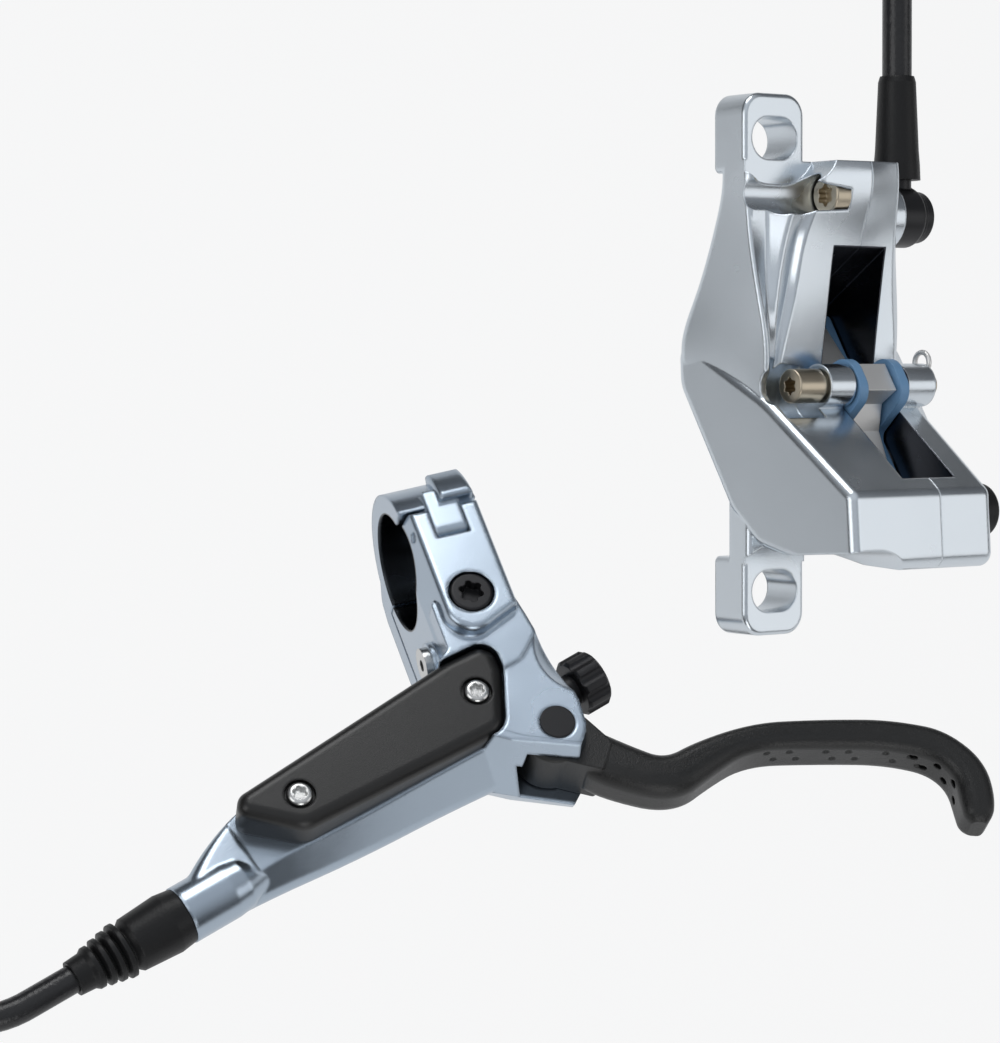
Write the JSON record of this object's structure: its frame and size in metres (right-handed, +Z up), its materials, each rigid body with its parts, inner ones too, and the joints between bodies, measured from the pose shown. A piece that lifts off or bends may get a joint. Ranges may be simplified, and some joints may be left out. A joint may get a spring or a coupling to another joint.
{
  "type": "hydraulic disc brake",
  "caption": "Bicycle hydraulic disc brake set: bar-clamped lever with master cylinder, hose and post-mount caliper with opposed pistons and pads.",
  "frame": {"origin": "centre of the handlebar clamp bore", "axes": "+X along the handlebar towards its end, +Y back towards the rider, +Z up"},
  "size_m": [0.2311, 0.1784, 0.143],
  "materials": {
    "polished_alloy": "polished and clear anodised",
    "black_satin": "satin black anodised",
    "steel": "bright zinc",
    "black_steel": "black oxide",
    "gold_steel": "yellow zinc",
    "brass": "turned",
    "copper": "annealed washer",
    "piston_alloy": "hard anodised",
    "blue_plate": "blue coated backing plate",
    "friction": "sintered friction material",
    "rubber": "moulded",
    "hose": "smooth black jacket"
  },
  "bodies": {
    "root": {"lever_body": "polished_alloy", "caliper_outboard_body": "polished_alloy", "caliper_inboard_body": "polished_alloy", "clamp_band": "polished_alloy", "reservoir_cover": "black_satin", "banjo_fitting": "black_satin", "banjo_bolt": "black_satin", "clamp_hinge_pin": "steel", "clamp_bolt": "black_steel", "cover_screws": "steel", "pivot_pin": "black_steel", "piston_stop_ring": "steel", "piston_return_spring": "steel", "pad_spring": "steel", "pin_clip": "steel", "pad_pin": "gold_steel", "caliper_body_bolts": "gold_steel", "lever_bleed_screw": "steel", "caliper_bleed_screw": "steel", "compression_nut": "steel", "olive": "brass", "hose_barb": "steel", "banjo_washers": "copper", "reservoir_bladder": "rubber", "transfer_seal": "rubber", "outboard_piston_seals": "rubber", "inboard_piston_seals": "rubber", "lever_hose_boot": "rubber", "caliper_hose_boot": "rubber", "bleed_cap": "rubber", "brake_hose": "hose"},
    "blade": {"lever_blade": "black_satin", "pivot_bushings": "brass"},
    "trunnion": {"trunnion": "steel"},
    "reach": {"pushrod": "steel", "reach_knob": "black_satin"},
    "master_piston": {"master_piston": "piston_alloy", "primary_seal": "rubber", "secondary_seal": "rubber"},
    "outboard_pad": {"outboard_pistons": "piston_alloy", "outboard_pad_plate": "blue_plate", "outboard_pad_lining": "friction"},
    "inboard_pad": {"inboard_pistons": "piston_alloy", "inboard_pad_plate": "blue_plate", "inboard_pad_lining": "friction"}
  },
  "joints": [
    {"name": "lever_pivot", "type": "hinge", "parent": "root", "child": "blade", "pos_m": [0.00707, -0.04331, 0.0005], "axis": [0, 0, 1], "range_deg": [0, 25], "stiffness_Nm_per_rad": 0.4},
    {"name": "trunnion_turn", "type": "hinge", "parent": "blade", "child": "trunnion", "pos_m": [0.00646, -0.03508, 0.0005], "axis": [0, 0, 1], "range_deg": [-25.1, 0]},
    {"name": "reach_adjust", "type": "hinge", "parent": "trunnion", "child": "reach", "pos_m": [0.00646, -0.03508, 0.0005], "axis": [0.9588, 0.284, 0], "range_deg": [-180, 180]},
    {"name": "master_piston_slide", "type": "slide", "parent": "root", "child": "master_piston", "axis": [-0.9588, -0.284, 0], "range_m": [0, 0.0036], "deforming": ["piston_return_spring"]},
    {"name": "outboard_pad_slide", "type": "slide", "parent": "root", "child": "outboard_pad", "axis": [0.9282, 0.0327, -0.3706], "range_m": [0, 0.00051]},
    {"name": "inboard_pad_slide", "type": "slide", "parent": "root", "child": "inboard_pad", "axis": [-0.9282, -0.0327, 0.3706], "range_m": [0, 0.00051]}
  ],
  "couplings": [
    {"joint": "trunnion_turn", "follows": "lever_pivot", "ratio": -1},
    {"joint": "master_piston_slide", "follows": "lever_pivot", "m_per_rad": 0.00818},
    {"joint": "outboard_pad_slide", "follows": "lever_pivot", "m_per_rad": 0.0011459},
    {"joint": "inboard_pad_slide", "follows": "lever_pivot", "m_per_rad": 0.0011459}
  ]
}
